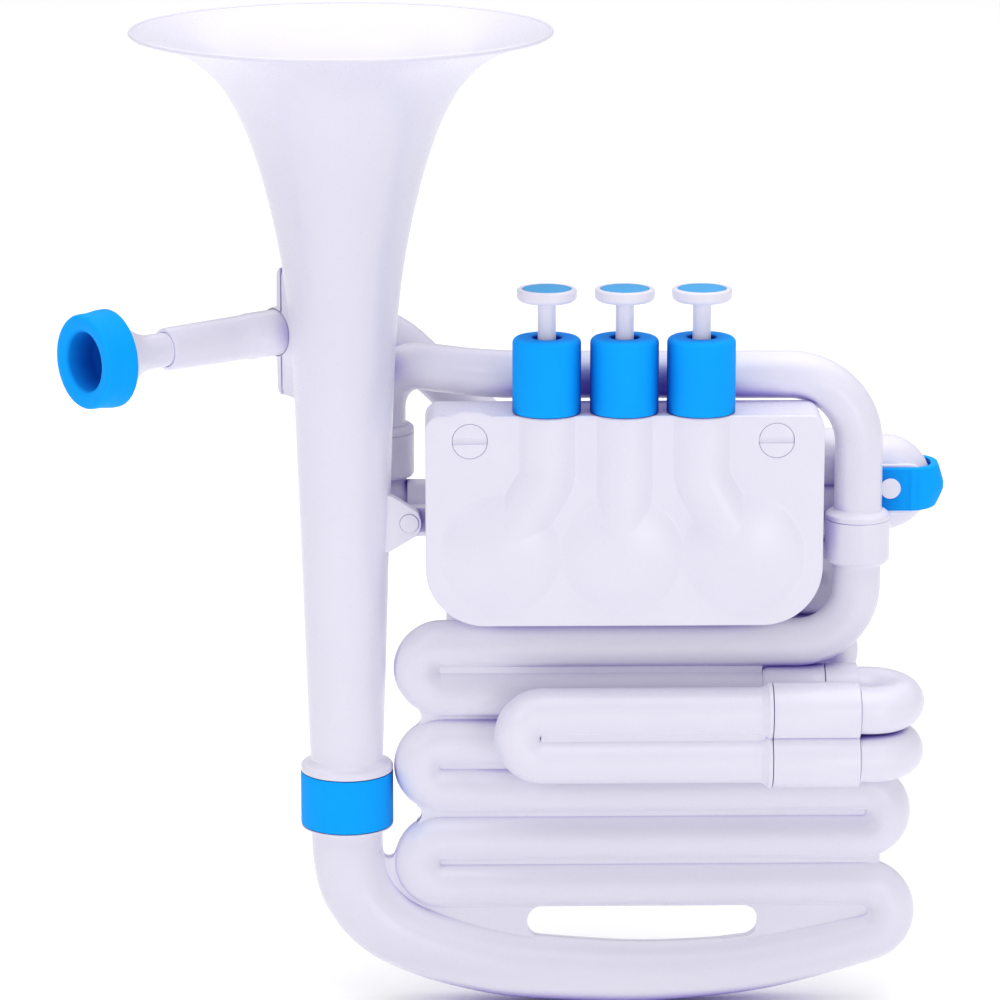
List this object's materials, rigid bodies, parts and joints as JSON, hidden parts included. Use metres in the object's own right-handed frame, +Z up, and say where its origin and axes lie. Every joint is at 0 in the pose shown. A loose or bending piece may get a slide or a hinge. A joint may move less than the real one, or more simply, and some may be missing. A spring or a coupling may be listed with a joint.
{
  "type": "plastic horn",
  "caption": "Upright plastic horn with a flared bell, a serpentine body of two moulded halves, press-button rotary valves, a tuning slide and a removable mouthpiece.",
  "frame": {"origin": "middle of the bounding box in X and Y, at the lowest point of the bottom bow", "axes": "+Z up along the bell axis, +X from the mouthpiece side to the drain key side, +Y from the button side to the rear tubing"},
  "size_m": [0.345, 0.162, 0.3907],
  "materials": {
    "white_plastic": "satin-gloss moulded plastic with a faint cool tint",
    "blue_silicone": "soft matte silicone",
    "blue_inlay": "matte moulded disc",
    "spring_steel": "drawn wire"
  },
  "bodies": {
    "frame": {"body_front_shell": "white_plastic", "body_rear_shell": "white_plastic", "bell": "white_plastic", "bell_ferrule": "white_plastic", "bell_band": "blue_silicone", "top_crook": "white_plastic", "right_ferrule": "white_plastic", "left_ferrule": "white_plastic", "mouthpiece_receiver": "white_plastic", "lead_pipe": "white_plastic", "pipe_bracket": "white_plastic", "lug_pin": "white_plastic", "valve_block": "white_plastic", "rotor_cap_1": "white_plastic", "rotor_cap_2": "white_plastic", "rotor_cap_3": "white_plastic", "valve_loop_1": "white_plastic", "valve_loop_2": "white_plastic", "valve_loop_3": "white_plastic", "return_elbow": "white_plastic", "rear_socket": "white_plastic", "rear_bend": "white_plastic", "drain_key_pin_front": "white_plastic", "drain_key_pin_rear": "white_plastic", "slide_receiver": "white_plastic", "side_crook_upper": "white_plastic", "side_crook_lower": "white_plastic", "valve_case": "white_plastic", "valve_cover": "white_plastic", "valve_collar_1": "blue_silicone", "valve_collar_2": "blue_silicone", "valve_collar_3": "blue_silicone", "return_spring_1": "spring_steel", "return_spring_2": "spring_steel", "return_spring_3": "spring_steel"},
    "mouthpiece_unit": {"mouthpiece": "white_plastic", "mouthpiece_rim_cover": "blue_silicone"},
    "plunger_1": {"push_rod_1": "white_plastic", "button_1": "white_plastic", "button_inlay_1": "blue_inlay"},
    "plunger_2": {"push_rod_2": "white_plastic", "button_2": "white_plastic", "button_inlay_2": "blue_inlay"},
    "plunger_3": {"push_rod_3": "white_plastic", "button_3": "white_plastic", "button_inlay_3": "blue_inlay"},
    "valve_rotor_1": {"rotor_1": "white_plastic"},
    "valve_rotor_2": {"rotor_2": "white_plastic"},
    "valve_rotor_3": {"rotor_3": "white_plastic"},
    "slide": {"tuning_slide": "white_plastic"},
    "key": {"drain_key": "blue_silicone"},
    "screw_left": {"cover_screw_left": "white_plastic"},
    "screw_right": {"cover_screw_right": "white_plastic"}
  },
  "joints": [
    {"name": "button_1_press", "type": "slide", "parent": "frame", "child": "plunger_1", "axis": [0, 0, -1], "range_m": [0, 0.0125], "stiffness_N_per_m": 250, "springref_m": -0.012, "deforming": ["return_spring_1"]},
    {"name": "button_2_press", "type": "slide", "parent": "frame", "child": "plunger_2", "axis": [0, 0, -1], "range_m": [0, 0.0125], "stiffness_N_per_m": 250, "springref_m": -0.012, "deforming": ["return_spring_2"]},
    {"name": "button_3_press", "type": "slide", "parent": "frame", "child": "plunger_3", "axis": [0, 0, -1], "range_m": [0, 0.0125], "stiffness_N_per_m": 250, "springref_m": -0.012, "deforming": ["return_spring_3"]},
    {"name": "rotor_1_turn", "type": "hinge", "parent": "frame", "child": "valve_rotor_1", "pos_m": [-0.0033, 0, 0.1924], "axis": [0, 1, 0], "range_deg": [0, 90]},
    {"name": "rotor_2_turn", "type": "hinge", "parent": "frame", "child": "valve_rotor_2", "pos_m": [0.0433, 0, 0.1924], "axis": [0, 1, 0], "range_deg": [0, 90]},
    {"name": "rotor_3_turn", "type": "hinge", "parent": "frame", "child": "valve_rotor_3", "pos_m": [0.09, 0, 0.1924], "axis": [0, -1, 0], "range_deg": [0, 90]},
    {"name": "tuning_slide_pull", "type": "slide", "parent": "frame", "child": "slide", "axis": [-1, 0, 0], "range_m": [0, 0.024]},
    {"name": "drain_key_turn", "type": "hinge", "parent": "frame", "child": "key", "pos_m": [0.1506, 0.025, 0.2073], "axis": [0, -1, 0], "range_deg": [0, 25]},
    {"name": "screw_left_turn", "type": "hinge", "parent": "frame", "child": "screw_left", "pos_m": [-0.0151, -0.033, 0.237], "axis": [0, 1, 0], "range_deg": [0, 90]},
    {"name": "screw_right_turn", "type": "hinge", "parent": "frame", "child": "screw_right", "pos_m": [0.1022, -0.033, 0.237], "axis": [0, 1, 0], "range_deg": [0, 90]},
    {"name": "mouthpiece_pull", "type": "slide", "parent": "frame", "child": "mouthpiece_unit", "axis": [-0.788, -0.6157, 0], "range_m": [0, 0.018]}
  ],
  "couplings": [
    {"joint": "rotor_1_turn", "follows": "button_1_press", "rad_per_m": 125.6},
    {"joint": "rotor_2_turn", "follows": "button_2_press", "rad_per_m": 125.6},
    {"joint": "rotor_3_turn", "follows": "button_3_press", "rad_per_m": 125.6}
  ]
}
